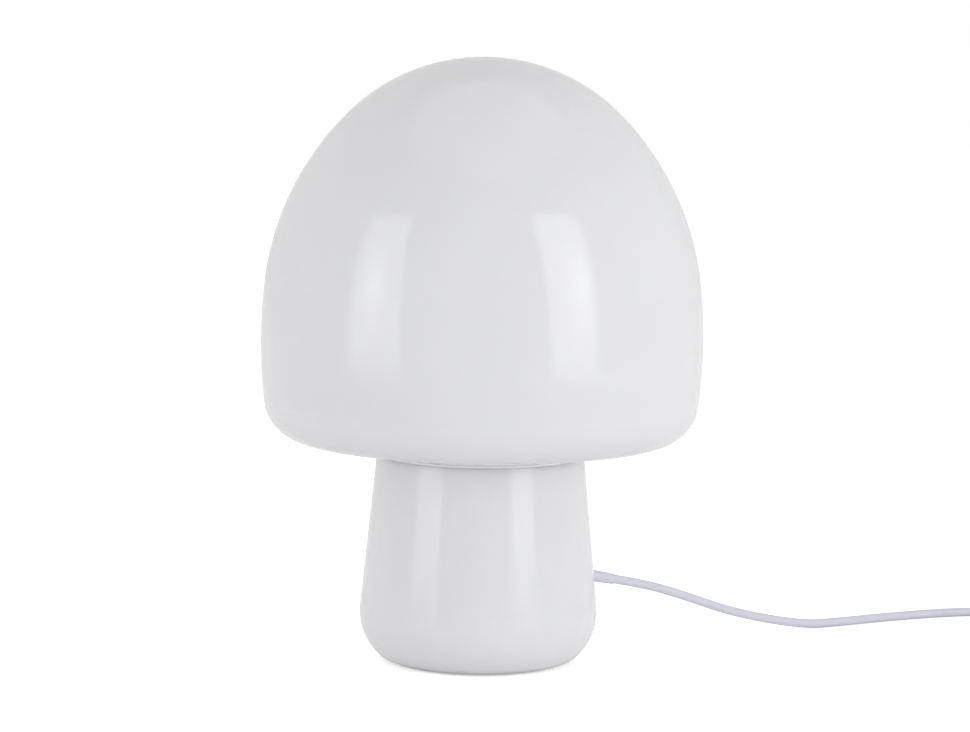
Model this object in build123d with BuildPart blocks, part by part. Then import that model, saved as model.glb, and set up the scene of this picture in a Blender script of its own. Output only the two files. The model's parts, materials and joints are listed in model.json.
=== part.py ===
"""Mushroom table lamp: an opal glass cap that rests on an opal glass stem, lit by a screw-in bulb.

Millimetres, +Z up. The origin is on the table, under the middle of the foot, and the lamp faces -Y.
"""

from build123d import *
from math import acos, cos, degrees, pi, radians, sin, sqrt, tan
import os

os.makedirs("parts", exist_ok=True)

# ---------------------------------------------------------------- driving sizes
OVERALL_HEIGHT = 340.0  # table to the crown of the cap
CAP_RADIUS = 124.2  # at the widest part of the cap
SEAT_HEIGHT = 118.0  # cap's underside over the stem's outer edge
STEM_TOP_RADIUS = 58.5
GLASS_WALL = 3.0

# Cap: arcs from the crown down, as the turns between their ends
CROWN_TURN = 45.0
WALL_ARC_RADIUS = 290.0
WALL_ABOVE_WIDEST = 6.5
WALL_BELOW_WIDEST = 6.8
EDGE_RADIUS = 24.3  # the round at the cap's lower edge
UNDERSIDE_SLOPE = 9.5  # falls towards the stem
NECK_BEND = 3.0
NECK_DEPTH = 14.0  # neck that centres the cap inside the stem

# Stem and foot
SIDE_TAPER = 5.64
FOOT_ROUND = 32.5
FOOT_ROUND_TURN = 52.5
FOOT_EDGE_ROUND = 9.85
FOOT_FLAT_WIDTH = 5.0
FOOT_RING_HEIGHT = 1.0
FOOT_RING_INSET = 0.5
KICK_ROUND = 6.0  # the glass turns up under the foot and back to a flat floor
KICK_SLOPE = 60.0
FLOOR_ROUND = 3.0
FLOOR_RECESS = 7.0
FLOOR_HOLE_RADIUS = 8.0

# Soft seat between the two glasses
FLANGE_THICKNESS = 0.7
FLANGE_SETBACK = 0.9
COLLAR_WALL = 2.0
COLLAR_DEPTH = 9.0
LIFT_CLEARANCE = 0.3  # between the cap that lifts off and what it rests on
FIT_CLEARANCE = 0.05  # between fixed pieces that fit together

# Fittings on the middle of the foot
PLATE_EDGE_GAP = 4.0
PLATE_THICKNESS = 2.0
COVER_THICKNESS = 1.2
WASHER_THICKNESS = 1.5
WASHER_MARGIN = 3.0
TUBE_RADIUS = 5.0
TUBE_BELOW_NUT = 0.5
CORD_ROOM_IN_TUBE = 0.9
SLOT_BELOW_TURN = 9.0  # slot where the cord enters the tube, from where the cord turns up
SLOT_ABOVE_TURN = 17.0
NUT_WIDTH = 14.0
LOWER_NUT_HEIGHT = 3.0
UPPER_NUT_HEIGHT = 4.0

# Lampholder and bulb, standard 27 mm screw size
HOLDER_BELOW_SEAT = 6.0
HOLDER_RADIUS = 19.5
HOLDER_WALL = 2.0
HOLDER_CUP_HEIGHT = 22.0
HOLDER_HEIGHT = 54.0
HOLDER_BOSS_RADIUS = 8.5
HOLDER_BOSS_HEIGHT = 4.0
HOLDER_LAP = 6.0  # the skirt's lower end fits inside the cup
HOLDER_TOP_CHAMFER = 2.0
GRIP_GROOVES = 4
GRIP_SPACING = 4.0
GROOVE_DEPTH = 0.7
TUBE_IN_HOLDER = 8.0
BLOCK_HEIGHT = 8.0
BLOCK_BELOW_SKIRT = 2.0
CORE_OFFSET = 7.0  # from the lamp's axis, at the terminals
TERMINAL_SCREW_RADIUS = 1.9
TERMINAL_SCREW_HEIGHT = 1.2
TERMINAL_SCREW_OFFSET = 8.0
SOCKET_RADIUS = 13.3
SOCKET_WALL = 0.5
SOCKET_HEIGHT = 26.0
SPRING_THICKNESS = 0.6
SPRING_WIDTH = 4.0
TIP_ABOVE_BLOCK = 3.0
BULB_DIAMETER = 60.0
BULB_LENGTH = 110.0
BULB_SHELL_RADIUS = 13.2
BULB_SHELL_TOP = 27.0  # from the tip of the bulb
BULB_NECK_RADIUS = 14.4
BULB_NECK_TOP = 35.0
BULB_RIM_HEIGHT = 66.0  # where the housing meets the globe
BULB_WALL = 1.2
TIP_RADIUS = 4.8
TIP_HEIGHT = 1.8
TIP_CROWN = 0.35
INSULATOR_TOP_RADIUS = 11.4
SHELL_BOTTOM = 6.5
SHELL_WALL = 0.4
BOARD_RADIUS = 21.0
BOARD_THICKNESS = 1.6
LED_COUNT = 10
LED_LENGTH = 3.5
LED_WIDTH = 2.8
LED_HEIGHT = 0.8

# Cord
CORD_DIAMETER = 5.2
CORE_DIAMETER = 2.0
GLAND_HEIGHT = 43.5
GLAND_AZIMUTH = 27.0  # behind the lamp's right-hand side
GLAND_DROOP = 11.9
CORD_TURNS_UP = 66.0  # height at which the cord turns up inside the lamp
GLAND_NOSE = 20.0
NOSE_ROOT_WALL = 1.0
NOSE_TIP_WALL = 0.45
GLAND_FLANGE_RADIUS = 6.5
GLAND_FLANGE = 1.8
GLAND_SHANK_RADIUS = 4.6
GLAND_SHANK = 9.0
GLAND_NUT_WIDTH = 13.0
GLAND_NUT_HEIGHT = 4.0

# Switch on the cord
SWITCH_LENGTH = 62.0
SWITCH_WIDTH = 25.0
SWITCH_HEIGHT = 17.0
SWITCH_SPLIT = 8.5
SWITCH_WALL = 2.0
SWITCH_CENTRE = (361.4, 72.4)
SWITCH_HEADING = -80.0
SWITCH_END_ROUND = 9.0
CORD_IN_SWITCH = 8.0
ROCKER_LENGTH = 20.0
ROCKER_WIDTH = 11.0
ROCKER_TILT = 7.0
ROCKER_GAP = 0.4
ROCKER_PIN_RADIUS = 1.5
ROCKER_RISE = 4.9  # above the pivot at its ends, then in the middle
ROCKER_DIP = 3.9
ROCKER_BELOW = 3.0
ROCKER_ROUND = 0.4
PIVOT_BELOW_TOP = 4.0
RUNNING_CLEARANCE = 0.06
CHEEK_THICKNESS = 1.8  # the cover's cheeks that carry the rocker's pins
CHEEK_LENGTH = 7.0
BOSS_PLACES = ((24.0, 7.5), (-24.0, -7.5))
BOSS_RADIUS = 2.6
SCREW_RADIUS = 1.15
SCREW_HEAD_RADIUS = 2.1
SCREW_HEAD_DEPTH = 1.8
SCREW_HEAD_SUNK = 0.2
SCREW_REACH = 5.0  # into the cover
BRIDGE_LENGTH = 7.2
BRIDGE_WIDTH = 3.0
BRIDGE_THICKNESS = 0.5
TERMINAL_PLACE = 8.5  # each side of the middle
TERMINAL_ACROSS = 4.0
TERMINAL_LENGTH = 5.0
TERMINAL_WIDTH = 6.0
TERMINAL_TOP = 7.95
TONGUE_LENGTH = 8.0
TONGUE_WIDTH = 7.2
TONGUE_ASIDE = 1.9  # towards the middle of the switch
TONGUE_THICKNESS = 0.8

# Coil and plug
COIL_CENTRE = (334.0, -32.0)
COIL_INNER_RADIUS = 20.8
COIL_GAP = 0.6  # between turns side by side, and between the two layers
COIL_TURNS_PER_LAYER = 3.5
COIL_EASE = 0.25  # turns each side of the middle over which the spiral reverses and climbs
PLUG_LENGTH = 36.0
PLUG_WIDTH = 35.0
PLUG_THICKNESS = 13.8
PLUG_SIDE_ROUND = 6.0
PLUG_SHOULDER = 15.0  # from the cord end to where the plug is its full thickness
PLUG_SHOULDER_WIDTH = 24.0
PLUG_INLET_WIDTH = 11.0
PLUG_INLET_THICKNESS = 10.0
PLUG_INLET_ROUND = 4.5
PLUG_FACE_ROUND = 1.0  # round the edge of the face that the pins leave
CORD_IN_PLUG = 6.0
PIN_RADIUS = 2.0
PIN_SPACING = 18.6
PIN_LENGTH = 19.0
PIN_IN_PLUG = 6.0

CORD_RADIUS = CORD_DIAMETER / 2
CORE_RADIUS = CORE_DIAMETER / 2


def save(piece, name):
    """Labels a finished piece and writes its file."""
    piece.part.label = name
    export_step(piece.part, f"parts/{name}.step")


# ---------------------------------------------------------------- cap: worked-out sizes
# Every arc is given by the elevations of the surface's outward normal at its two ends.
slope = radians(UNDERSIDE_SLOPE)
above = radians(WALL_ABOVE_WIDEST)
below = radians(WALL_BELOW_WIDEST)
crown_start = radians(90 - CROWN_TURN)
edge_turn = 90 - UNDERSIDE_SLOPE - WALL_BELOW_WIDEST
edge_end_radius = (
    CAP_RADIUS - WALL_ARC_RADIUS * (1 - cos(below)) - EDGE_RADIUS * (cos(below) - sin(slope))
)
widest_height = (
    SEAT_HEIGHT
    + (edge_end_radius - STEM_TOP_RADIUS) * tan(slope)
    + EDGE_RADIUS * (cos(slope) - sin(below))
    + WALL_ARC_RADIUS * sin(below)
)
# The crown and shoulder arcs together span what is left of the radius and of the height.
span_out = CAP_RADIUS - WALL_ARC_RADIUS * (1 - cos(above))
span_up = OVERALL_HEIGHT - widest_height - WALL_ARC_RADIUS * sin(above)
shoulder_out = cos(above) - cos(crown_start)
shoulder_up = sin(crown_start) - sin(above)
crown_out = cos(crown_start)
crown_up = 1 - sin(crown_start)
spread = shoulder_out * crown_up - shoulder_up * crown_out
shoulder_radius = (span_out * crown_up - span_up * crown_out) / spread
crown_radius = (shoulder_out * span_up - shoulder_up * span_out) / spread

# ---------------------------------------------------------------- stem: worked-out sizes
taper = radians(SIDE_TAPER)
foot_turned = radians(90 - SIDE_TAPER + FOOT_ROUND_TURN)
rim_drop = (FLANGE_THICKNESS + LIFT_CLEARANCE) / cos(slope)
rim_height = SEAT_HEIGHT - rim_drop
rim_width = GLASS_WALL / cos(slope - taper)
rim_inner_radius = STEM_TOP_RADIUS - rim_width * cos(slope)
rim_inner_height = rim_height - rim_width * sin(slope)
base_height = (
    FOOT_RING_HEIGHT
    + FOOT_ROUND * (sin(taper) - cos(foot_turned))
    + FOOT_EDGE_ROUND * (1 + cos(foot_turned))
)
base_radius = STEM_TOP_RADIUS + (rim_height - base_height) * tan(taper)
flat_outer_radius = (
    base_radius
    - FOOT_ROUND * (cos(taper) - sin(foot_turned))
    - FOOT_EDGE_ROUND * sin(foot_turned)
)
flat_inner_radius = flat_outer_radius - FOOT_FLAT_WIDTH
kick = radians(KICK_SLOPE)
kick_run = (FLOOR_RECESS - (KICK_ROUND + FLOOR_ROUND) * (1 - cos(kick))) / sin(kick)
floor_radius = flat_inner_radius - (KICK_ROUND + FLOOR_ROUND) * sin(kick) - kick_run * cos(kick)
floor_bottom = FOOT_RING_HEIGHT + FLOOR_RECESS
floor_top = floor_bottom + GLASS_WALL

neck_radius = rim_inner_radius - FIT_CLEARANCE - COLLAR_WALL - LIFT_CLEARANCE
neck_end = SEAT_HEIGHT - NECK_DEPTH
bend_centre_radius = neck_radius + NECK_BEND
bend_centre_height = (
    SEAT_HEIGHT + (bend_centre_radius - STEM_TOP_RADIUS) * tan(slope) - NECK_BEND / cos(slope)
)


def underside(radius, gap):
    """Point a gap below the cap's sloping underside."""
    return (radius, SEAT_HEIGHT + (radius - STEM_TOP_RADIUS) * tan(slope) - gap / cos(slope))


def stem_outer_radius(height):
    """Radius of the stem's straight side."""
    return STEM_TOP_RADIUS + (rim_height - height) * tan(taper)


def cap_skin(inset):
    """Half outline of one face of the cap's glass, from the crown to the end of the neck."""
    crown = JernArc((0, OVERALL_HEIGHT - inset), (1, 0), crown_radius - inset, -CROWN_TURN)
    shoulder = JernArc(
        crown @ 1, crown % 1, shoulder_radius - inset, CROWN_TURN + WALL_ABOVE_WIDEST - 90
    )
    wall = JernArc(
        shoulder @ 1, shoulder % 1, WALL_ARC_RADIUS - inset, -WALL_ABOVE_WIDEST - WALL_BELOW_WIDEST
    )
    edge = JernArc(wall @ 1, wall % 1, EDGE_RADIUS - inset, -edge_turn)
    bend_start = (
        bend_centre_radius - (NECK_BEND + inset) * sin(slope),
        bend_centre_height + (NECK_BEND + inset) * cos(slope),
    )
    Line(edge @ 1, bend_start)
    bend = JernArc(bend_start, edge % 1, NECK_BEND + inset, 90 - UNDERSIDE_SLOPE)
    neck = Line(bend @ 1, (neck_radius - inset, neck_end))
    return neck @ 1


def stem_skin(inset):
    """Half outline of one face of the stem's glass, from the rim to the hole in its floor."""
    along_rim = inset / cos(slope - taper)
    rim = (STEM_TOP_RADIUS - along_rim * cos(slope), rim_height - along_rim * sin(slope))
    base = (base_radius - inset * cos(taper), base_height - inset * sin(taper))
    side = Line(rim, base)
    foot = JernArc(side @ 1, side % 1, FOOT_ROUND - inset, -FOOT_ROUND_TURN)
    edge = JernArc(foot @ 1, foot % 1, FOOT_EDGE_ROUND - inset, FOOT_ROUND_TURN - 90 - SIDE_TAPER)
    flat = Line(edge @ 1, (edge @ 1) - (FOOT_FLAT_WIDTH, 0))
    turn_up = JernArc(flat @ 1, (-1, 0), KICK_ROUND - inset, -KICK_SLOPE)
    riser = Line(turn_up @ 1, (turn_up @ 1) + (turn_up % 1) * kick_run)
    turn_in = JernArc(riser @ 1, riser % 1, FLOOR_ROUND + inset, KICK_SLOPE)
    floor = Line(turn_in @ 1, (FLOOR_HOLE_RADIUS, floor_bottom + inset))
    return floor @ 1


# ---------------------------------------------------------------- glass
with BuildPart() as cap_shade:
    with BuildSketch(Plane.XZ) as cap_section:
        with BuildLine():
            outer_end = cap_skin(0)
            inner_end = cap_skin(GLASS_WALL)
            Line(outer_end, inner_end)
            Line((0, OVERALL_HEIGHT - GLASS_WALL), (0, OVERALL_HEIGHT))
        make_face()
        fillet(cap_section.vertices().group_by(Axis.Y)[0], GLASS_WALL * 0.45)
    revolve(axis=Axis.Z)
save(cap_shade, "cap_shade")

gland_side = Vector(cos(radians(GLAND_AZIMUTH)), sin(radians(GLAND_AZIMUTH)), 0)


def gland_point(distance, height):
    """Point in the upright plane of the cord's exit, at a distance from the lamp's axis."""
    return gland_side * distance + Vector(0, 0, height)


gland_wall = stem_outer_radius(GLAND_HEIGHT)
gland_inner_wall = gland_wall - GLASS_WALL / cos(taper)
gland_bore_plane = Plane(
    origin=gland_point(gland_inner_wall - GLAND_SHANK, GLAND_HEIGHT), z_dir=gland_side
)

with BuildPart() as stem_shell:
    with BuildSketch(Plane.XZ) as stem_section:
        with BuildLine():
            outer_end = stem_skin(0)
            inner_end = stem_skin(GLASS_WALL)
            Line(outer_end, inner_end)
            Line((STEM_TOP_RADIUS, rim_height), (rim_inner_radius, rim_inner_height))
        make_face()
        fillet(stem_section.vertices().group_by(Axis.Y)[-1], 0.4)
    revolve(axis=Axis.Z)
    with BuildSketch(gland_bore_plane):
        Circle(GLAND_SHANK_RADIUS + FIT_CLEARANCE)
    extrude(amount=2 * GLAND_SHANK, mode=Mode.SUBTRACT)
save(stem_shell, "stem_shell")

# ---------------------------------------------------------------- soft seat and foot ring
with BuildPart() as seat_collar:
    with BuildSketch(Plane.XZ):
        with BuildLine():
            lip_top = underside(STEM_TOP_RADIUS - FLANGE_SETBACK, LIFT_CLEARANCE)
            soft_bend = NECK_BEND - LIFT_CLEARANCE
            bend_start = (
                bend_centre_radius - soft_bend * sin(slope),
                bend_centre_height + soft_bend * cos(slope),
            )
            top = Line(lip_top, bend_start)
            bend = JernArc(bend_start, top % 1, soft_bend, 90 - UNDERSIDE_SLOPE)
            sleeve_end = rim_inner_height - COLLAR_DEPTH
            inside = Line(bend @ 1, (neck_radius + LIFT_CLEARANCE, sleeve_end))
            sleeve_outer = rim_inner_radius - FIT_CLEARANCE
            flange_root = underside(sleeve_outer, FLANGE_THICKNESS + LIFT_CLEARANCE)
            flange_edge = underside(STEM_TOP_RADIUS - FLANGE_SETBACK, FLANGE_THICKNESS + LIFT_CLEARANCE)
            Polyline(inside @ 1, (sleeve_outer, sleeve_end), flange_root, flange_edge, lip_top)
        make_face()
    revolve(axis=Axis.Z)
save(seat_collar, "seat_collar")

with BuildPart() as foot_ring:
    with BuildSketch():
        Circle(flat_outer_radius - FOOT_RING_INSET)
        Circle(flat_inner_radius + FOOT_RING_INSET, mode=Mode.SUBTRACT)
    extrude(amount=FOOT_RING_HEIGHT)
save(foot_ring, "foot_ring")

# ---------------------------------------------------------------- plates, washers, tube and nuts
plate_radius = floor_radius - PLATE_EDGE_GAP
washer_radius = plate_radius - WASHER_MARGIN
tube_hole_radius = TUBE_RADIUS + FIT_CLEARANCE
lower_washer_bottom = floor_bottom - WASHER_THICKNESS
cover_bottom = lower_washer_bottom - COVER_THICKNESS
upper_washer_top = floor_top + WASHER_THICKNESS
plate_top = upper_washer_top + PLATE_THICKNESS
lower_nut_bottom = cover_bottom - LOWER_NUT_HEIGHT
tube_bottom = lower_nut_bottom - TUBE_BELOW_NUT


def ring(radius, hole_radius, bottom, height):
    """Flat ring about the lamp's axis, added to the part being built."""
    with BuildSketch(Plane.XY.offset(bottom)) as section:
        Circle(radius)
        Circle(hole_radius, mode=Mode.SUBTRACT)
    extrude(section.sketch, amount=height)


with BuildPart() as floor_washers:
    ring(washer_radius, tube_hole_radius, lower_washer_bottom, WASHER_THICKNESS)
    ring(washer_radius, tube_hole_radius, floor_top, WASHER_THICKNESS)
save(floor_washers, "floor_washers")

with BuildPart() as base_plate:
    ring(plate_radius, tube_hole_radius, upper_washer_top, PLATE_THICKNESS)
    fillet(base_plate.edges().group_by(Axis.Z)[-1].sort_by(SortBy.RADIUS)[-1], PLATE_THICKNESS * 0.4)
save(base_plate, "base_plate")

with BuildPart() as cover_plate:
    ring(plate_radius, tube_hole_radius, cover_bottom, COVER_THICKNESS)
    fillet(cover_plate.edges().group_by(Axis.Z)[0].sort_by(SortBy.RADIUS)[-1], COVER_THICKNESS * 0.4)
save(cover_plate, "cover_plate")

with BuildPart() as tube_nuts:
    for nut_bottom, nut_height in ((lower_nut_bottom, LOWER_NUT_HEIGHT), (plate_top, UPPER_NUT_HEIGHT)):
        with BuildSketch(Plane.XY.offset(nut_bottom)):
            RegularPolygon(NUT_WIDTH / 2, 6, major_radius=False)
            Circle(tube_hole_radius, mode=Mode.SUBTRACT)
        extrude(amount=nut_height)
save(tube_nuts, "tube_nuts")

# ---------------------------------------------------------------- cord inside the lamp
holder_bottom = SEAT_HEIGHT - HOLDER_BELOW_SEAT
tube_top = holder_bottom + TUBE_IN_HOLDER
tube_bore_radius = CORD_RADIUS + CORD_ROOM_IN_TUBE
gland_root = gland_wall + GLAND_FLANGE
droop = radians(GLAND_DROOP)


def nose_point(distance):
    """Point on the drooping line along which the cord leaves the gland."""
    return gland_point(gland_root + distance * cos(droop), GLAND_HEIGHT - distance * sin(droop))


gland_tip = nose_point(GLAND_NOSE)
inner_route = [
    gland_tip,
    nose_point(0),
    gland_point(gland_inner_wall * 0.55, GLAND_HEIGHT + 2.0),
    gland_point(0, CORD_TURNS_UP),
    gland_point(0, tube_top),
]


def corner_radii(route):
    """Radius for each corner of a cord's route: as large as its two runs allow."""
    radii = []
    for before, corner, after in zip(route, route[1:], route[2:]):
        arriving = corner - before
        leaving = after - corner
        half_turn = radians(arriving.get_angle(leaving)) / 2
        radii.append(0.45 * min(arriving.length, leaving.length) / tan(half_turn))
    return radii


def report_cord(name, cord, path, radius):
    """Prints how long a swept cord is, and how well its volume fills that length."""
    share = cord.part.volume / (pi * radius**2 * path.length)
    print(f"{name}: {path.length:.1f} mm long, volume {share:.4f} of section times length")


def cord_tube(name, route, radius):
    """Round cord along a route: straight runs joined by tangent arcs."""
    radii = corner_radii(route)
    with BuildPart() as cord:
        with BuildLine():
            path = FilletPolyline(*route, radius=radii)
        with BuildSketch(Plane(origin=path @ 0, z_dir=path % 0)):
            Circle(radius)
        sweep()
    report_cord(name, cord, path, radius)
    print(f"{name}: bend radii {[round(bend, 1) for bend in radii]}")
    save(cord, name)


cord_tube("cord_inner", inner_route, CORD_RADIUS)

slot_middle = CORD_TURNS_UP + (SLOT_ABOVE_TURN - SLOT_BELOW_TURN) / 2
with BuildPart() as centre_tube:
    ring(TUBE_RADIUS, tube_bore_radius, tube_bottom, tube_top - tube_bottom)
    with BuildSketch(Plane(origin=(0, 0, slot_middle), x_dir=(0, 0, 1), z_dir=gland_side)):
        SlotOverall(SLOT_BELOW_TURN + SLOT_ABOVE_TURN, CORD_DIAMETER + 1.0)
    extrude(amount=2 * TUBE_RADIUS, mode=Mode.SUBTRACT)
save(centre_tube, "centre_tube")

# Gland: moulded nose, flange and shank, bored along the cord's own path
nose_axis = (gland_tip - nose_point(0)).normalized()
with BuildPart() as cord_gland:
    with BuildSketch(gland_bore_plane):
        Circle(GLAND_SHANK_RADIUS)
    extrude(amount=gland_root - gland_inner_wall + GLAND_SHANK)
    with BuildSketch(Plane(origin=gland_point(gland_wall - 1.0, GLAND_HEIGHT), z_dir=gland_side)):
        Circle(GLAND_FLANGE_RADIUS)
    extrude(amount=GLAND_FLANGE + 1.0)
    fillet(cord_gland.edges().group_by(Axis(gland_point(0, 0), gland_side))[-1], 0.8)
    add(stem_shell.part, mode=Mode.SUBTRACT)
    with BuildSketch(Plane(origin=nose_point(-1.0), z_dir=nose_axis)):
        Circle(CORD_RADIUS + NOSE_ROOT_WALL)
    with BuildSketch(Plane(origin=gland_tip, z_dir=nose_axis)):
        Circle(CORD_RADIUS + NOSE_TIP_WALL)
    loft()
    with BuildLine():
        bore_path = FilletPolyline(*inner_route, radius=corner_radii(inner_route))
    with BuildSketch(Plane(origin=bore_path @ 0, z_dir=bore_path % 0)):
        Circle(CORD_RADIUS + FIT_CLEARANCE)
    sweep(mode=Mode.SUBTRACT)
save(cord_gland, "cord_gland")

with BuildPart() as gland_nut:
    with BuildSketch(
        Plane(
            origin=gland_point(gland_inner_wall - GLAND_NUT_HEIGHT, GLAND_HEIGHT),
            x_dir=(0, 0, 1),
            z_dir=gland_side,
        )
    ):
        RegularPolygon(GLAND_NUT_WIDTH / 2, 6, major_radius=False)
        Circle(GLAND_SHANK_RADIUS + FIT_CLEARANCE, mode=Mode.SUBTRACT)
    extrude(amount=GLAND_NUT_HEIGHT + 1.0)
    add(stem_shell.part, mode=Mode.SUBTRACT)
save(gland_nut, "gland_nut")

# ---------------------------------------------------------------- lampholder
cup_top = holder_bottom + HOLDER_CUP_HEIGHT
holder_top = holder_bottom + HOLDER_HEIGHT
spigot_radius = HOLDER_RADIUS - HOLDER_WALL - FIT_CLEARANCE
spigot_bottom = cup_top - HOLDER_LAP
cavity_radius = spigot_radius - HOLDER_WALL
block_bottom = spigot_bottom - BLOCK_BELOW_SKIRT
block_top = block_bottom + BLOCK_HEIGHT
boss_top = holder_bottom + HOLDER_BOSS_HEIGHT
cup_round = HOLDER_RADIUS - HOLDER_BOSS_RADIUS

with BuildPart() as holder_cup:
    with BuildSketch(Plane.XZ):
        with BuildLine():
            outside = JernArc((HOLDER_BOSS_RADIUS, boss_top), (1, 0), cup_round, 90)
            inside = JernArc(
                (HOLDER_BOSS_RADIUS, boss_top + HOLDER_WALL), (1, 0), cup_round - HOLDER_WALL, 90
            )
            Polyline(
                outside @ 1,
                (HOLDER_RADIUS, cup_top),
                (HOLDER_RADIUS - HOLDER_WALL, cup_top),
                inside @ 1,
            )
            Polyline(
                inside @ 0,
                (tube_hole_radius, boss_top + HOLDER_WALL),
                (tube_hole_radius, holder_bottom),
                (HOLDER_BOSS_RADIUS, holder_bottom),
                outside @ 0,
            )
        make_face()
    revolve(axis=Axis.Z)
save(holder_cup, "holder_cup")

with BuildPart() as holder_skirt:
    with BuildSketch(Plane.XZ):
        with BuildLine():
            Polyline(
                (cavity_radius, spigot_bottom),
                (spigot_radius, spigot_bottom),
                (spigot_radius, cup_top),
                (HOLDER_RADIUS, cup_top),
                (HOLDER_RADIUS, holder_top - HOLDER_TOP_CHAMFER),
                (HOLDER_RADIUS - HOLDER_TOP_CHAMFER, holder_top),
                (cavity_radius, holder_top),
                close=True,
            )
        make_face()
        with Locations((HOLDER_RADIUS, (cup_top + holder_top) / 2)):
            with GridLocations(0, GRIP_SPACING, 1, GRIP_GROOVES):
                Circle(GROOVE_DEPTH, mode=Mode.SUBTRACT)
    revolve(axis=Axis.Z)
save(holder_skirt, "holder_skirt")

with BuildPart() as holder_block:
    ring(cavity_radius - FIT_CLEARANCE, CORE_DIAMETER, block_bottom, BLOCK_HEIGHT)
    with BuildSketch(Plane.XY.offset(block_bottom)):
        with Locations((-CORE_OFFSET, 0), (CORE_OFFSET, 0)):
            Circle(CORE_RADIUS + FIT_CLEARANCE)
    extrude(amount=BLOCK_HEIGHT / 2, mode=Mode.SUBTRACT)
save(holder_block, "holder_block")

with BuildPart() as socket_shell:
    ring(SOCKET_RADIUS + SOCKET_WALL, SOCKET_RADIUS, block_top, SOCKET_HEIGHT)
save(socket_shell, "socket_shell")

bulb_tip_height = block_top + TIP_ABOVE_BLOCK
spring_top = bulb_tip_height - LIFT_CLEARANCE
spring_root = block_top + SPRING_THICKNESS
with BuildPart() as centre_contact:
    with BuildSketch(Plane.XZ):
        with BuildLine():
            Polyline(
                (-9.0, block_top),
                (-3.0, block_top),
                (0, spring_top - SPRING_THICKNESS),
                (3.5, spring_top - SPRING_THICKNESS),
                (3.5, spring_top),
                (-0.3, spring_top),
                (-3.3, spring_root),
                (-9.0, spring_root),
                close=True,
            )
        make_face()
    extrude(amount=SPRING_WIDTH / 2, both=True)
save(centre_contact, "centre_contact")

terminal_screw_places = [(side * CORE_OFFSET, TERMINAL_SCREW_OFFSET) for side in (-1, 1)]
with BuildPart() as terminal_screws:
    with BuildSketch(Plane.XY.offset(block_top)):
        with Locations(*terminal_screw_places):
            Circle(TERMINAL_SCREW_RADIUS)
    extrude(amount=TERMINAL_SCREW_HEIGHT)
    with BuildSketch(Plane.XY.offset(block_top + TERMINAL_SCREW_HEIGHT / 2)):
        with Locations(*terminal_screw_places):
            Rectangle(0.6, 2 * TERMINAL_SCREW_RADIUS)
    extrude(amount=TERMINAL_SCREW_HEIGHT, mode=Mode.SUBTRACT)
save(terminal_screws, "terminal_screws")

core_gap = CORE_RADIUS * 1.15  # from the middle of the cord to the middle of either core


def core_route(side):
    """One core, from the end of the sheath to its terminal in the block."""
    return [
        Vector(side * core_gap, 0, tube_top),
        Vector(side * core_gap, 0, tube_top + 2.6),
        Vector(side * CORE_OFFSET, 0, block_bottom - 2.2),
        Vector(side * CORE_OFFSET, 0, block_bottom + BLOCK_HEIGHT / 2),
    ]


cord_tube("live_core", core_route(1), CORE_RADIUS)
cord_tube("neutral_core", core_route(-1), CORE_RADIUS)

# ---------------------------------------------------------------- bulb
bulb_top = bulb_tip_height + BULB_LENGTH
globe_radius = BULB_DIAMETER / 2
globe_centre = bulb_top - globe_radius
rim_level = bulb_tip_height + BULB_RIM_HEIGHT
globe_rim_radius = sqrt(globe_radius**2 - (globe_centre - rim_level) ** 2)
shell_top = bulb_tip_height + BULB_SHELL_TOP
neck_level = bulb_tip_height + BULB_NECK_TOP
shell_bottom = bulb_tip_height + SHELL_BOTTOM
tip_top = bulb_tip_height + TIP_HEIGHT

with BuildPart() as bulb_tip:
    with BuildSketch(Plane.XZ):
        with BuildLine():
            ThreePointArc(
                (0, bulb_tip_height),
                (TIP_RADIUS * 0.6, bulb_tip_height + TIP_CROWN),
                (TIP_RADIUS, tip_top),
            )
            Polyline((TIP_RADIUS, tip_top), (0, tip_top), (0, bulb_tip_height))
        make_face()
    revolve(axis=Axis.Z)
save(bulb_tip, "bulb_tip")

with BuildPart() as bulb_insulator:
    with BuildSketch(Plane.XZ):
        with BuildLine():
            Polyline(
                (0, tip_top + FIT_CLEARANCE),
                (TIP_RADIUS + 1.0, tip_top + FIT_CLEARANCE),
                (INSULATOR_TOP_RADIUS, shell_bottom - 1.2),
                (INSULATOR_TOP_RADIUS, shell_bottom + 1.0),
                (0, shell_bottom + 1.0),
                close=True,
            )
        make_face()
    revolve(axis=Axis.Z)
save(bulb_insulator, "bulb_insulator")

with BuildPart() as bulb_shell:
    with BuildSketch(Plane.XZ):
        with BuildLine():
            Polyline(
                (INSULATOR_TOP_RADIUS + FIT_CLEARANCE, shell_bottom - 0.6),
                (BULB_SHELL_RADIUS, shell_bottom + 1.5),
                (BULB_SHELL_RADIUS, shell_top),
                (BULB_SHELL_RADIUS - SHELL_WALL, shell_top),
                (BULB_SHELL_RADIUS - SHELL_WALL, shell_bottom + 1.6),
                (INSULATOR_TOP_RADIUS + FIT_CLEARANCE, shell_bottom),
                close=True,
            )
        make_face()
    revolve(axis=Axis.Z)
save(bulb_shell, "bulb_shell")

with BuildPart() as bulb_housing:
    with BuildSketch(Plane.XZ):
        with BuildLine():
            spigot = BULB_SHELL_RADIUS - SHELL_WALL - FIT_CLEARANCE
            Polyline(
                (0, rim_level),
                (0, shell_bottom + 2.0),
                (spigot, shell_bottom + 2.0),
                (spigot, shell_top),
                (BULB_NECK_RADIUS, shell_top),
                (BULB_NECK_RADIUS, neck_level),
            )
            flare = Spline(
                (BULB_NECK_RADIUS, neck_level),
                (globe_rim_radius, rim_level),
                tangents=[(0.12, 1), (globe_centre - rim_level, globe_rim_radius)],
            )
            Line(flare @ 1, (0, rim_level))
        make_face()
    revolve(axis=Axis.Z)
save(bulb_housing, "bulb_housing")


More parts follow.
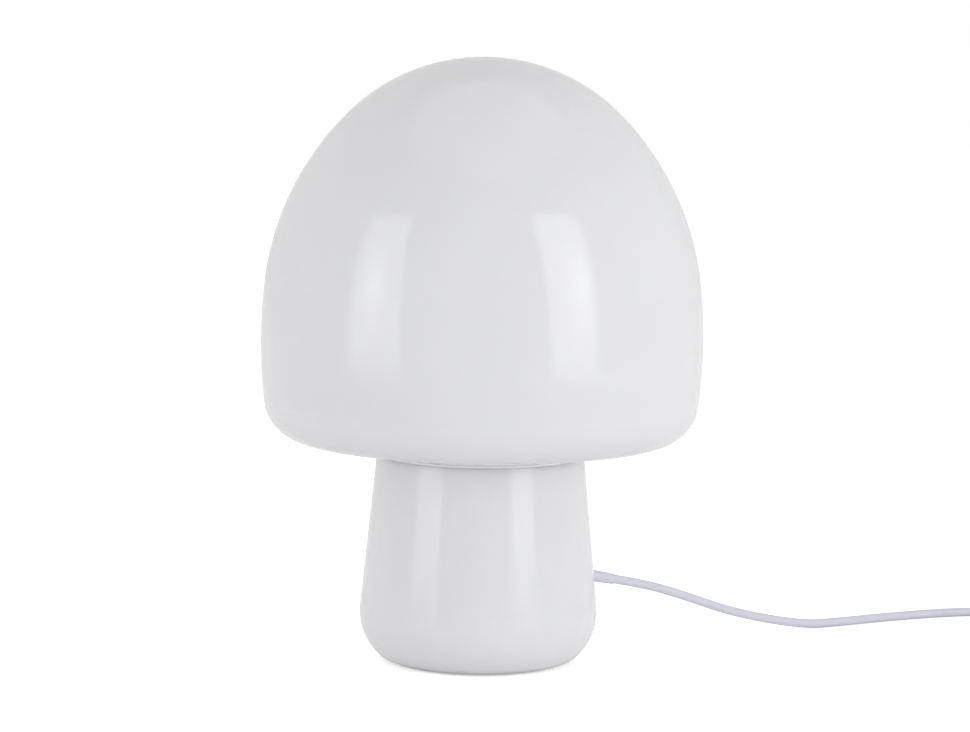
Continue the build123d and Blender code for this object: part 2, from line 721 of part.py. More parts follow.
def globe_skin(radius):
    """Arc of the globe at a radius, from its top down to the level of its rim."""
    return CenterArc(
        (0, globe_centre), radius, 90, degrees(acos((globe_centre - rim_level) / radius)) - 180
    )


with BuildPart() as bulb_globe:
    with BuildSketch(Plane.XZ):
        with BuildLine():
            outer = globe_skin(globe_radius)
            inner = globe_skin(globe_radius - BULB_WALL)
            Line(outer @ 1, inner @ 1)
            Line(outer @ 0, inner @ 0)
        make_face()
    revolve(axis=Axis.Z)
save(bulb_globe, "bulb_globe")

with BuildPart() as bulb_led_board:
    with BuildSketch(Plane.XY.offset(rim_level)):
        Circle(BOARD_RADIUS)
    extrude(amount=BOARD_THICKNESS)
    with BuildSketch(Plane.XY.offset(rim_level + BOARD_THICKNESS)):
        with PolarLocations(BOARD_RADIUS * 0.7, LED_COUNT):
            Rectangle(LED_WIDTH, LED_LENGTH)
    extrude(amount=LED_HEIGHT)
save(bulb_led_board, "bulb_led_board")

# ---------------------------------------------------------------- switch on the cord
switch_along = Vector(cos(radians(SWITCH_HEADING)), sin(radians(SWITCH_HEADING)), 0)
switch_across = Vector(-switch_along.Y, switch_along.X, 0)
cavity_length = SWITCH_LENGTH - 2 * SWITCH_WALL
cavity_width = SWITCH_WIDTH - 2 * SWITCH_WALL
cavity_round = SWITCH_END_ROUND - SWITCH_WALL
window_length = ROCKER_LENGTH + 2 * ROCKER_GAP
window_width = ROCKER_WIDTH + 2 * ROCKER_GAP
roof = SWITCH_HEIGHT - SWITCH_WALL
pivot_height = SWITCH_HEIGHT - PIVOT_BELOW_TOP
cheek_middle = (window_width + CHEEK_THICKNESS) / 2
cheek_reach = window_width / 2 + CHEEK_THICKNESS


def switch_point(along, across, height):
    """Point on the switch, from its middle on the table."""
    middle = Vector(SWITCH_CENTRE[0], SWITCH_CENTRE[1], height)
    return middle + switch_along * along + switch_across * across


def switch_level(height):
    """Level plane through the switch, with X along the cord."""
    return Plane(origin=switch_point(0, 0, height), x_dir=switch_along, z_dir=(0, 0, 1))


cord_bore_plane = Plane(origin=switch_point(-SWITCH_LENGTH, 0, SWITCH_SPLIT), z_dir=switch_along)

with BuildPart() as switch_base:
    with BuildSketch(switch_level(0)):
        RectangleRounded(SWITCH_LENGTH, SWITCH_WIDTH, SWITCH_END_ROUND)
    extrude(amount=SWITCH_SPLIT)
    fillet(switch_base.edges().group_by(Axis.Z)[0], SWITCH_WALL * 0.9)
    with BuildSketch(switch_level(SWITCH_WALL)):
        RectangleRounded(cavity_length, cavity_width, cavity_round)
        with Locations(*BOSS_PLACES):
            Circle(BOSS_RADIUS, mode=Mode.SUBTRACT)
    extrude(amount=SWITCH_HEIGHT, mode=Mode.SUBTRACT)
    with BuildSketch(switch_level(0)):
        with Locations(*BOSS_PLACES):
            Circle(SCREW_HEAD_RADIUS + FIT_CLEARANCE)
    extrude(amount=SCREW_HEAD_DEPTH, mode=Mode.SUBTRACT)
    with BuildSketch(switch_level(0)):
        with Locations(*BOSS_PLACES):
            Circle(SCREW_RADIUS + FIT_CLEARANCE)
    extrude(amount=SWITCH_SPLIT, mode=Mode.SUBTRACT)
    with BuildSketch(cord_bore_plane):
        Circle(CORD_RADIUS + FIT_CLEARANCE)
    extrude(amount=2 * SWITCH_LENGTH, mode=Mode.SUBTRACT)
save(switch_base, "switch_base")

with BuildPart() as switch_cover:
    with BuildSketch(switch_level(SWITCH_SPLIT)):
        RectangleRounded(SWITCH_LENGTH, SWITCH_WIDTH, SWITCH_END_ROUND)
    extrude(amount=SWITCH_HEIGHT - SWITCH_SPLIT)
    fillet(switch_cover.edges().group_by(Axis.Z)[-1], SWITCH_WALL * 1.4)
    with BuildSketch(switch_level(SWITCH_SPLIT)):
        RectangleRounded(cavity_length, cavity_width, cavity_round)
        with Locations(*BOSS_PLACES):
            Circle(BOSS_RADIUS, mode=Mode.SUBTRACT)
        with Locations((0, cheek_middle), (0, -cheek_middle)):
            Rectangle(CHEEK_LENGTH, CHEEK_THICKNESS, mode=Mode.SUBTRACT)
    extrude(amount=roof - SWITCH_SPLIT, mode=Mode.SUBTRACT)
    with BuildSketch(switch_level(SWITCH_SPLIT)):
        Rectangle(window_length, window_width)
    extrude(amount=SWITCH_HEIGHT, mode=Mode.SUBTRACT)
    with BuildSketch(switch_level(SWITCH_SPLIT)):
        with Locations(*BOSS_PLACES):
            Circle(SCREW_RADIUS + FIT_CLEARANCE)
    extrude(amount=SCREW_REACH, mode=Mode.SUBTRACT)
    with BuildSketch(Plane(origin=switch_point(0, -cheek_reach, pivot_height), z_dir=switch_across)):
        Circle(ROCKER_PIN_RADIUS + RUNNING_CLEARANCE)
    extrude(amount=2 * cheek_reach, mode=Mode.SUBTRACT)
    with BuildSketch(cord_bore_plane):
        Circle(CORD_RADIUS + FIT_CLEARANCE)
    extrude(amount=2 * SWITCH_LENGTH, mode=Mode.SUBTRACT)
save(switch_cover, "switch_cover")

with BuildPart() as switch_screws:
    with BuildSketch(switch_level(SCREW_HEAD_SUNK)):
        with Locations(*BOSS_PLACES):
            Circle(SCREW_HEAD_RADIUS)
    extrude(amount=SCREW_HEAD_DEPTH - SCREW_HEAD_SUNK)
    with BuildSketch(switch_level(SCREW_HEAD_DEPTH)):
        with Locations(*BOSS_PLACES):
            Circle(SCREW_RADIUS)
    extrude(amount=SWITCH_SPLIT + SCREW_REACH - SCREW_HEAD_DEPTH - 0.5)
save(switch_screws, "switch_screws")

# Rocker, resting tilted with the end nearer the plug pressed down
tilt = radians(ROCKER_TILT)
rocker_half = ROCKER_LENGTH / 2 - 0.6
rocker_waist = BRIDGE_LENGTH / 2
rocker_plane = Plane(
    origin=switch_point(0, 0, pivot_height),
    x_dir=switch_along * cos(tilt) + Vector(0, 0, -sin(tilt)),
    z_dir=switch_across * -1,
)
with BuildPart() as switch_rocker:
    with BuildSketch(rocker_plane):
        with BuildLine():
            Polyline(
                (-rocker_half, ROCKER_RISE),
                (0, ROCKER_DIP),
                (rocker_half, ROCKER_RISE),
                (rocker_half - 0.6, 1.0),
                (rocker_waist, -ROCKER_BELOW),
                (-rocker_waist, -ROCKER_BELOW),
                (0.6 - rocker_half, 1.0),
                close=True,
            )
        make_face()
    extrude(amount=ROCKER_WIDTH / 2, both=True)
    fillet(switch_rocker.edges().filter_by(Axis(switch_point(0, 0, 0), switch_across)), ROCKER_ROUND)
    with BuildSketch(rocker_plane):
        Circle(ROCKER_PIN_RADIUS)
    extrude(amount=cheek_reach - 0.1, both=True)
save(switch_rocker, "switch_rocker")

with BuildPart() as rocker_contact:
    with BuildSketch(rocker_plane):
        with Locations((0, -ROCKER_BELOW - BRIDGE_THICKNESS / 2)):
            Rectangle(BRIDGE_LENGTH, BRIDGE_THICKNESS)
    extrude(amount=BRIDGE_WIDTH / 2, both=True)
save(rocker_contact, "rocker_contact")

# Each terminal: an upright block on the floor of the base, under a tongue the rocker bridges to
with BuildPart() as switch_terminals:
    for side in (-1, 1):
        with BuildSketch(switch_level(SWITCH_WALL)):
            with Locations((side * TERMINAL_PLACE, TERMINAL_ACROSS)):
                Rectangle(TERMINAL_LENGTH, TERMINAL_WIDTH)
        extrude(amount=TERMINAL_TOP - SWITCH_WALL)
        with BuildSketch(switch_level(TERMINAL_TOP)):
            tongue_along = TERMINAL_PLACE + TERMINAL_LENGTH / 2 - TONGUE_LENGTH / 2
            with Locations((side * tongue_along, TERMINAL_ACROSS - TONGUE_ASIDE)):
                Rectangle(TONGUE_LENGTH, TONGUE_WIDTH)
        extrude(amount=TONGUE_THICKNESS)
save(switch_terminals, "switch_terminals")

sheath_end = SWITCH_LENGTH / 2 - CORD_IN_SWITCH


def live_route(side):
    """Live core inside the switch, from the sheath's end to a terminal."""
    return [
        switch_point(side * sheath_end, core_gap, SWITCH_SPLIT),
        switch_point(side * (sheath_end - 3.0), core_gap, SWITCH_SPLIT),
        switch_point(side * (TERMINAL_PLACE + TERMINAL_LENGTH), TERMINAL_ACROSS, 5.2),
        switch_point(side * (TERMINAL_PLACE + TERMINAL_LENGTH / 2), TERMINAL_ACROSS, 5.2),
    ]


cord_tube("switch_live_in", live_route(-1), CORE_RADIUS)
cord_tube("switch_live_out", live_route(1), CORE_RADIUS)
cord_tube(
    "switch_neutral",
    [
        switch_point(-sheath_end, -core_gap, SWITCH_SPLIT),
        switch_point(3.0 - sheath_end, -core_gap, SWITCH_SPLIT),
        switch_point(-13.0, -5.0, 4.6),
        switch_point(0, -5.6, 4.2),
        switch_point(13.0, -5.0, 4.6),
        switch_point(sheath_end - 3.0, -core_gap, SWITCH_SPLIT),
        switch_point(sheath_end, -core_gap, SWITCH_SPLIT),
    ],
    CORE_RADIUS,
)

# ---------------------------------------------------------------- cord from the lamp to the switch
# It leaves the gland drooping, comes down to the table and curves round to the switch.
on_table = CORD_RADIUS
lead_route = [
    gland_tip,
    nose_point(GLAND_NOSE + 23.0),
    Vector(120.3, 61.3, 26.3),
    Vector(147.9, 75.4, 14.8),
    Vector(174.6, 89.0, 7.2),
    Vector(197.8, 100.8, on_table),
    Vector(213.0, 105.5, on_table),
    Vector(229.0, 118.5, on_table),
    Vector(252.0, 130.5, on_table),
    Vector(284.0, 144.5, on_table),
    Vector(311.0, 150.5, on_table),
    Vector(336.0, 142.5, on_table),
    switch_point(-SWITCH_LENGTH / 2 - 16.0, 0, SWITCH_SPLIT),
    switch_point(-sheath_end, 0, SWITCH_SPLIT),
]
cord_tube("cord_lead", lead_route, CORD_RADIUS)

# ---------------------------------------------------------------- coil of put-away cord
coil_turns = 2 * COIL_TURNS_PER_LAYER
coil_pitch = CORD_DIAMETER + COIL_GAP


def coil_point(turns):
    """Centre line of the coil after so many turns: in along the table, then out on top."""
    past_middle = turns - COIL_TURNS_PER_LAYER
    outwards = abs(past_middle)
    if outwards < COIL_EASE:
        outwards = (outwards**2 / COIL_EASE + COIL_EASE) / 2
    climbed = min(max((past_middle + COIL_EASE) / (2 * COIL_EASE), 0), 1)
    radius = COIL_INNER_RADIUS + coil_pitch * outwards
    angle = -2 * pi * turns
    return Vector(
        COIL_CENTRE[0] + radius * cos(angle),
        COIL_CENTRE[1] + radius * sin(angle),
        on_table + coil_pitch * (1 - cos(pi * climbed)) / 2,
    )


def coil_heading(turns):
    """Way that the coil's centre line heads, square to the radius at its two ends."""
    if turns in (0, coil_turns):
        return Vector(0, -1, 0)
    step = 1e-4
    return (coil_point(turns + step) - coil_point(turns - step)).normalized()


def biarc(start, heading, end, end_heading):
    """Two arcs from start to end, tangent to both headings and to each other."""
    chord = end - start
    both = heading + end_heading
    bend = 2 * (1 - heading.dot(end_heading))
    along = chord.dot(both)
    handle = (sqrt(along**2 + bend * chord.dot(chord)) - along) / bend
    middle = (start + end + (heading - end_heading) * handle) / 2
    first = TangentArc(start, middle, tangent=heading)
    TangentArc(middle, end, tangent=first % 1)


coil_start = coil_point(0)
coil_end = coil_point(coil_turns)
straight_end = Vector(0, -CORD_DIAMETER, 0)
quarters = [step / 4 for step in range(int(4 * coil_turns) + 1)]
with BuildPart() as cord_coil:
    with BuildLine() as coil_line:
        Line(coil_start - straight_end, coil_start)
        for here, there in zip(quarters, quarters[1:]):
            biarc(coil_point(here), coil_heading(here), coil_point(there), coil_heading(there))
        Line(coil_end, coil_end + straight_end)
    with BuildSketch(Plane(origin=coil_start - straight_end, z_dir=(0, -1, 0))):
        Circle(CORD_RADIUS)
    sweep()
coil_path = coil_line.wire()
report_cord("cord_coil", cord_coil, coil_path, CORD_RADIUS)
save(cord_coil, "cord_coil")

# Least gap between turns, on points along the coil's own path
samples = 900
along_coil = [coil_path.position_at(step / samples) for step in range(samples + 1)]
apart = int(samples * 3 * CORD_DIAMETER / coil_path.length) + 1
least_gap = min(
    (there - here).length
    for place, here in enumerate(along_coil)
    for there in along_coil[place + apart :]
)
print(f"cord_coil: least gap between turns {least_gap - CORD_DIAMETER:.2f} mm")

# ---------------------------------------------------------------- cord between switch, coil and plug
entry = coil_start - straight_end
link_route = [
    switch_point(sheath_end, 0, SWITCH_SPLIT),
    switch_point(SWITCH_LENGTH / 2 + 16.0, 0, SWITCH_SPLIT),
    entry + Vector(-0.9, 27.8, 1.6),
    entry + Vector(0, 13.8, 0),
    entry,
]
cord_tube("cord_link", link_route, CORD_RADIUS)

leaves_coil = coil_end + straight_end
plug_inlet = leaves_coil + Vector(0, -28.8, PLUG_THICKNESS / 2 - coil_end.Z)
tail_route = [
    leaves_coil,
    leaves_coil + Vector(0, -10.8, 0),
    plug_inlet + Vector(0, 5.0, 0),
    plug_inlet + Vector(0, -CORD_IN_PLUG, 0),
]
cord_tube("cord_tail", tail_route, CORD_RADIUS)

# ---------------------------------------------------------------- plug

def plug_section(distance):
    """Upright plane across the plug, at a distance behind its cord end."""
    return Plane(origin=plug_inlet + Vector(0, -distance, 0), x_dir=(1, 0, 0), z_dir=(0, -1, 0))


with BuildPart() as plug_body:
    with BuildSketch(plug_section(0)):
        RectangleRounded(PLUG_INLET_WIDTH, PLUG_INLET_THICKNESS, PLUG_INLET_ROUND)
    with BuildSketch(plug_section(PLUG_SHOULDER)):
        RectangleRounded(PLUG_SHOULDER_WIDTH, PLUG_THICKNESS, PLUG_INLET_ROUND)
    loft()
    with BuildSketch(plug_section(PLUG_SHOULDER)):
        RectangleRounded(PLUG_SHOULDER_WIDTH, PLUG_THICKNESS, PLUG_INLET_ROUND)
    with BuildSketch(plug_section(PLUG_LENGTH)):
        RectangleRounded(PLUG_WIDTH, PLUG_THICKNESS, PLUG_SIDE_ROUND)
    loft()
    fillet(plug_body.edges().group_by(Axis.Y)[0], PLUG_FACE_ROUND)
    with BuildSketch(plug_section(0)):
        Circle(CORD_RADIUS + FIT_CLEARANCE)
    extrude(amount=CORD_IN_PLUG, mode=Mode.SUBTRACT)
    with BuildSketch(plug_section(PLUG_LENGTH - PIN_IN_PLUG)):
        with Locations((-PIN_SPACING / 2, 0), (PIN_SPACING / 2, 0)):
            Circle(PIN_RADIUS + FIT_CLEARANCE)
    extrude(amount=PIN_IN_PLUG, mode=Mode.SUBTRACT)
save(plug_body, "plug_body")

with BuildPart() as plug_pins:
    with BuildSketch(plug_section(PLUG_LENGTH - PIN_IN_PLUG)):
        with Locations((-PIN_SPACING / 2, 0), (PIN_SPACING / 2, 0)):
            Circle(PIN_RADIUS)
    extrude(amount=PIN_IN_PLUG + PIN_LENGTH)
    fillet(plug_pins.edges().group_by(Axis.Y)[0], PIN_RADIUS * 0.6)
save(plug_pins, "plug_pins")
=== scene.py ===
"""Looks of the mushroom table lamp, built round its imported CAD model."""
import json
import math

import bpy
from mathutils import Matrix, Vector


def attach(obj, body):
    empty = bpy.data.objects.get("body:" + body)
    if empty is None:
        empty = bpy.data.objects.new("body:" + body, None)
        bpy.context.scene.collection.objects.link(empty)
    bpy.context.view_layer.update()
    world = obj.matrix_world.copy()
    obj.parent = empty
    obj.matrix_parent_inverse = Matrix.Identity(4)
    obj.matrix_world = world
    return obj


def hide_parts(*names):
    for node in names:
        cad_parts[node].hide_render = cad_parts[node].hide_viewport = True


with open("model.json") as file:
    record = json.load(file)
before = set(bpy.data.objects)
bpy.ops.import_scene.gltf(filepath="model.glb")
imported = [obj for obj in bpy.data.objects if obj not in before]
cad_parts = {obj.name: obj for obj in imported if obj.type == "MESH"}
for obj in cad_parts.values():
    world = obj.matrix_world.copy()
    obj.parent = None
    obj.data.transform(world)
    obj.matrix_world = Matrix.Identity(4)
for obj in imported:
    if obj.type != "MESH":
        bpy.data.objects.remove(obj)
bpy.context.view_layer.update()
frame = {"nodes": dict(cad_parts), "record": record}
nodes = frame["nodes"]
MM = 0.001
new_pieces = []  # each with the slot that its finish comes from

# ---------------------------------------------------------------- camera
CAMERA_PLACE = (0.0, -1.8003, 0.3680)
CAMERA_TILT = 6.387  # degrees below the horizon
CAMERA_ROLL = 0.82  # degrees
CAMERA_LENS = 119.5
CAMERA_SENSOR = 36.0
CAMERA_SHIFT = (0.0034, 0.0004)

camera_data = bpy.data.cameras.new("photo_camera")
camera_data.sensor_width = CAMERA_SENSOR
camera_data.lens = CAMERA_LENS
camera_data.shift_x, camera_data.shift_y = CAMERA_SHIFT
camera = bpy.data.objects.new("photo_camera", camera_data)
bpy.context.scene.collection.objects.link(camera)
looking = Matrix.Rotation(math.radians(90 - CAMERA_TILT), 4, "X")
looking = looking @ Matrix.Rotation(math.radians(CAMERA_ROLL), 4, "Z")
camera.matrix_world = Matrix.Translation(CAMERA_PLACE) @ looking
bpy.context.scene.camera = camera
bpy.context.scene.view_settings.view_transform = "Standard"


# ---------------------------------------------------------------- helpers for modelling
def deselect_all():
    if bpy.context.object and bpy.context.object.mode != "OBJECT":
        bpy.ops.object.mode_set(mode="OBJECT")
    bpy.ops.object.select_all(action="DESELECT")


def settle(piece, name, body, slot):
    """Names a piece, moves its place into its mesh and lets it ride on a body."""
    deselect_all()
    piece.name = name
    piece.data.name = name
    piece.select_set(True)
    bpy.context.view_layer.objects.active = piece
    bpy.ops.object.transform_apply(location=True, rotation=True, scale=True)
    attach(piece, body)
    new_pieces.append((piece, slot))
    return piece


# ---------------------------------------------------------------- turned pieces
SHARP_EDGE = 35.0  # degrees, past which an edge stays sharp
TOUCHING = 1e-6  # metres, within which two points are one


def turned(outline, sides):
    """Spins a closed outline, given as radius and height in mm, round the Z axis."""
    deselect_all()
    bpy.ops.mesh.primitive_plane_add(size=MM, location=(0.0, 0.0, 0.0))
    piece = bpy.context.object
    bpy.ops.object.mode_set(mode="EDIT")
    bpy.ops.mesh.merge(type="CENTER")
    bpy.ops.transform.translate(value=(outline[0][0] * MM, 0.0, outline[0][1] * MM))
    for start, end in zip(outline, outline[1:] + outline[:1]):
        step = ((end[0] - start[0]) * MM, 0.0, (end[1] - start[1]) * MM)
        bpy.ops.mesh.extrude_region_move(TRANSFORM_OT_translate={"value": step})
    bpy.ops.mesh.select_all(action="SELECT")
    bpy.ops.mesh.spin(
        steps=sides, angle=2 * math.pi, center=(0.0, 0.0, 0.0), axis=(0.0, 0.0, 1.0)
    )
    bpy.ops.mesh.select_all(action="SELECT")
    bpy.ops.mesh.remove_doubles(threshold=TOUCHING)
    bpy.ops.mesh.dissolve_degenerate(threshold=TOUCHING)
    bpy.ops.mesh.select_all(action="SELECT")
    bpy.ops.mesh.normals_make_consistent(inside=False)
    bpy.ops.object.mode_set(mode="OBJECT")
    bpy.ops.object.shade_smooth_by_angle(angle=math.radians(SHARP_EDGE))
    return piece


# ---------------------------------------------------------------- soft seat of the cap
# It fills the gap between the rim of the stem and the cap, flush with the glass outside
SEAT_SIDES = 160
seat_outline = [
    (53.5, 107.6),
    (55.44, 107.6),
    (55.46, 116.44),
    (58.2, 116.9),
    (58.42, 117.02),
    (58.42, 117.8),
    (58.2, 117.92),
    (55.7, 117.5),
    (54.52, 116.94),
    (53.76, 115.97),
    (53.49, 114.57),
]
seat = settle(turned(seat_outline, SEAT_SIDES), "cap_seat", "base", "soft_seat")
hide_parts("seat_collar")

# ---------------------------------------------------------------- threads of bulb and holder
THREAD_PITCH = 3.629
THREAD_HEIGHT = 0.5  # from its middle to a crest
THREAD_EASE = 1.4  # it fades out over this height at each end
THREAD_SIDES = 96
ROWS_PER_TURN = 12
BULB_THREAD_RADIUS = 12.66
BULB_THREAD_LEVELS = (144.4, 161.2)
BULB_SHELL_WALL = 0.4
BULB_SHELL_INSIDE = (144.5, 161.4)
SOCKET_THREAD_RADIUS = 12.8
SOCKET_THREAD_LEVELS = (134.0, 160.0)
SOCKET_SHELL_WALL = 0.5


def thread_rows(radius, low, high):
    """Rows of an outline, close enough together to carry the thread."""
    count = math.ceil((high - low) / THREAD_PITCH * ROWS_PER_TURN)
    return [(radius, low + (high - low) * row / count) for row in range(count + 1)]


def roll_thread(piece, low, high):
    """Rolls a right-hand thread into a turned shell between two heights."""
    for vertex in piece.data.vertices:
        x, y, height = vertex.co / MM
        ease = min((height - low) / THREAD_EASE, (high - height) / THREAD_EASE, 1.0)
        if ease > 0:
            wave = math.cos(2 * math.pi * height / THREAD_PITCH - math.atan2(y, x))
            grow = 1 + THREAD_HEIGHT * ease * wave / math.hypot(x, y)
            vertex.co.x *= grow
            vertex.co.y *= grow


# Up the outside of the bulb's shell, over its collar and down the inside
bulb_shell_outline = (
    [(11.46, 142.95)]
    + thread_rows(BULB_THREAD_RADIUS, *BULB_THREAD_LEVELS)
    + [(13.1, 161.7), (13.2, 162.0), (13.2, 163.9)]
    + [(13.1, 163.98), (12.8, 163.98), (12.8, 162.1)]
    + thread_rows(BULB_THREAD_RADIUS - BULB_SHELL_WALL, *BULB_SHELL_INSIDE)[::-1]
    + [(11.46, 143.4)]
)
bulb_screw = turned(bulb_shell_outline, THREAD_SIDES)
roll_thread(bulb_screw, *BULB_THREAD_LEVELS)
settle(bulb_screw, "bulb_screw", "bulb", "nickel")
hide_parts("bulb_shell")

socket_outline = (
    thread_rows(SOCKET_THREAD_RADIUS + SOCKET_SHELL_WALL, *SOCKET_THREAD_LEVELS)
    + thread_rows(SOCKET_THREAD_RADIUS, *SOCKET_THREAD_LEVELS)[::-1]
)
socket_screw = turned(socket_outline, THREAD_SIDES)
roll_thread(socket_screw, *SOCKET_THREAD_LEVELS)
settle(socket_screw, "socket_screw", "base", "brass")
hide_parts("socket_shell")

# ---------------------------------------------------------------- bulb housing
NECK_RADIUS = 14.4
NECK_TOP = 171.93
RIM_RADIUS = 26.53
RIM_LEVEL = 202.93
FLARE_ROWS = 24
FLARE_PULL = 33.3  # three times the length of the curve's handles
GLOBE_RISE = 14.0  # from the rim up to the middle of the globe
HOUSING_SIDES = 128
neck_leaves = Vector((0.12, 1.0)).normalized() * FLARE_PULL
globe_meets = Vector((GLOBE_RISE, RIM_RADIUS)).normalized() * FLARE_PULL


def flare_point(along):
    """Point of the housing's flare, a smooth curve from the neck to the rim of the globe."""
    neck, rim = Vector((NECK_RADIUS, NECK_TOP)), Vector((RIM_RADIUS, RIM_LEVEL))
    left = 1 - along
    first, last = neck + neck_leaves / 3, rim - globe_meets / 3
    point = neck * left**3 + first * 3 * left**2 * along
    point = point + last * 3 * left * along**2 + rim * along**3
    return tuple(point)


# The foot inside the shell, the neck, the flare, and a fine groove under the globe
housing_outline = (
    [(0.0, 158.0), (11.4, 158.0), (11.5, 161.6), (12.75, 162.2), (12.75, 163.98)]
    + [(14.0, 164.0), (14.3, 164.1), (NECK_RADIUS, 164.5)]
    + [flare_point(row / FLARE_ROWS) for row in range(FLARE_ROWS)]
    + [(RIM_RADIUS - 0.12, RIM_LEVEL - 0.5), (RIM_RADIUS - 0.5, RIM_LEVEL - 0.2)]
    + [(RIM_RADIUS - 0.55, RIM_LEVEL), (0.0, RIM_LEVEL)]
)
housing = settle(turned(housing_outline, HOUSING_SIDES), "bulb_body", "bulb", "bulb_housing")
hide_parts("bulb_housing")

# ---------------------------------------------------------------- pins of the plug
PIN_PLACES = (365.8, 384.4)
PIN_LEVEL = 6.9
PIN_ROOT = -96.2
PIN_SIDES = 40
# Both outlines run down from the root: a pin with a thin neck and a thicker, round-tipped end,
# and the plastic sleeve round its neck
pin_outline = [
    (0.0, 0.0),
    (1.6, 0.0),
    (1.6, -15.8),
    (1.98, -15.9),
    (1.98, -23.4),
    (1.85, -24.0),
    (1.5, -24.5),
    (0.9, -24.75),
    (0.0, -24.8),
]
sleeve_outline = [
    (1.62, -5.0),
    (1.9, -5.0),
    (1.9, -15.7),
    (1.86, -15.85),
    (1.62, -15.85),
]
pin_parts = (("pin", pin_outline, "nickel"), ("sleeve", sleeve_outline, "cord_sheath"))
for side, across in zip(("left", "right"), PIN_PLACES):
    for kind, outline, slot in pin_parts:
        piece = turned(outline, PIN_SIDES)
        piece.rotation_euler = (math.radians(-90), 0.0, 0.0)
        piece.location = (across * MM, PIN_ROOT * MM, PIN_LEVEL * MM)
        settle(piece, f"plug_{kind}_{side}", "base", slot)
        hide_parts("plug_pins")


# ---------------------------------------------------------------- cord
CORD_DIAMETER = 5.2
TABLE_LEVEL = 2.6  # the middle of a cord that lies on the table
COIL_MIDDLE = (334.0, -32.0)
COIL_INNER_RADIUS = 20.8
COIL_SPACING = 5.8  # between turns side by side, and between the two layers
COIL_TURNS = 7
COIL_CLIMB = 0.25  # turns, each side of the middle one, in which the cord climbs a layer
POINTS_PER_TURN = 16

lead_points = [
    (77.63, 39.55, 39.38),
    (97.68, 49.77, 34.63),
    (120.3, 61.3, 26.3),
    (147.9, 75.4, 14.8),
    (174.6, 89.0, 7.2),
    (197.8, 100.8, TABLE_LEVEL),
    (213.0, 107.6, TABLE_LEVEL),
    (230.0, 117.2, TABLE_LEVEL),
    (252.0, 129.6, TABLE_LEVEL),
    (284.0, 144.5, TABLE_LEVEL),
    (311.0, 150.5, TABLE_LEVEL),
    (336.0, 142.5, TABLE_LEVEL),
    (353.24, 118.69, 8.5),
    (356.02, 102.93, 8.5),
]
link_points = [
    (366.78, 41.87, 8.5),
    (369.56, 26.11, 8.5),
    (374.2, 1.0, 4.2),
    (375.1, -13.0, TABLE_LEVEL),
    (375.1, -26.8, TABLE_LEVEL),
]
tail_points = [
    (375.1, -37.2, 8.4),
    (375.1, -48.0, 8.4),
    (375.1, -61.0, 6.9),
    (375.1, -72.0, 6.9),
]
inner_points = [
    (77.63, 39.55, 39.38),
    (60.19, 30.67, 43.5),
    (30.75, 15.67, 45.5),
    (0.0, 0.0, 66.0),
    (0.0, 0.0, 120.0),
]


def coil_point(turns):
    """The coil winds in along the table for half its turns, then out again on top."""
    past_middle = turns - COIL_TURNS / 2
    outwards = abs(past_middle)
    if outwards < COIL_CLIMB:
        outwards = (outwards**2 / COIL_CLIMB + COIL_CLIMB) / 2
    climbed = min(max((past_middle + COIL_CLIMB) / (2 * COIL_CLIMB), 0), 1)
    radius = COIL_INNER_RADIUS + COIL_SPACING * outwards
    angle = -2 * math.pi * turns
    return (
        COIL_MIDDLE[0] + radius * math.cos(angle),
        COIL_MIDDLE[1] + radius * math.sin(angle),
        TABLE_LEVEL + COIL_SPACING * (1 - math.cos(math.pi * climbed)) / 2,
    )


coil_steps = range(COIL_TURNS * POINTS_PER_TURN + 1)
coil_points = [coil_point(step / POINTS_PER_TURN) for step in coil_steps]
cord_points = lead_points + link_points + coil_points + tail_points


def round_cord(name, points):
    """Round cord along one smooth spline with these control points."""
    curve = bpy.data.curves.new(name, "CURVE")
    curve.dimensions = "3D"
    curve.bevel_depth = 1.0  # a point's radius is then the cord's radius in metres
    curve.bevel_resolution = 6
    curve.resolution_u = 8
    curve.use_fill_caps = True
    line = curve.splines.new("NURBS")
    line.points.add(len(points) - 1)
    for point, place in zip(line.points, points):
        point.co = (place[0] * MM, place[1] * MM, place[2] * MM, 1.0)
        point.radius = CORD_DIAMETER / 2 * MM
    line.order_u = 3
    line.use_endpoint_u = True
    piece = bpy.data.objects.new(name, curve)
    bpy.context.scene.collection.objects.link(piece)
    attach(piece, "base")
    new_pieces.append((piece, "cord_sheath"))
    return piece


inner_cord = round_cord("inner_cord", inner_points)
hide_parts("cord_inner")
cord = round_cord("lamp_cord", cord_points)
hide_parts("cord_lead", "cord_link", "cord_coil", "cord_tail")

# ---------------------------------------------------------------- helpers for materials
COLOUR_CHANGES = (0.3, 0.7)  # levels of the noise between which the colour changes


def new_material(name):
    material = bpy.data.materials.new(name)
    material.use_nodes = True
    tree = material.node_tree
    shader = tree.nodes["Principled BSDF"]
    place = tree.nodes.new("ShaderNodeTexCoord")
    return material, tree, shader, place


def noise(tree, place, scale, detail=3.0):
    """Noise on the piece's own coordinates, with scale in patches per metre."""
    texture = tree.nodes.new("ShaderNodeTexNoise")
    texture.inputs["Scale"].default_value = scale
    texture.inputs["Detail"].default_value = detail
    tree.links.new(place.outputs["Object"], texture.inputs["Vector"])
    return texture.outputs["Fac"]


def spread(tree, value, before, after):
    """Spreads a value that runs between the first two numbers over the second two."""
    ranged = tree.nodes.new("ShaderNodeMapRange")
    ranged.inputs["From Min"].default_value, ranged.inputs["From Max"].default_value = before
    ranged.inputs["To Min"].default_value, ranged.inputs["To Max"].default_value = after
    tree.links.new(value, ranged.inputs["Value"])
    return ranged


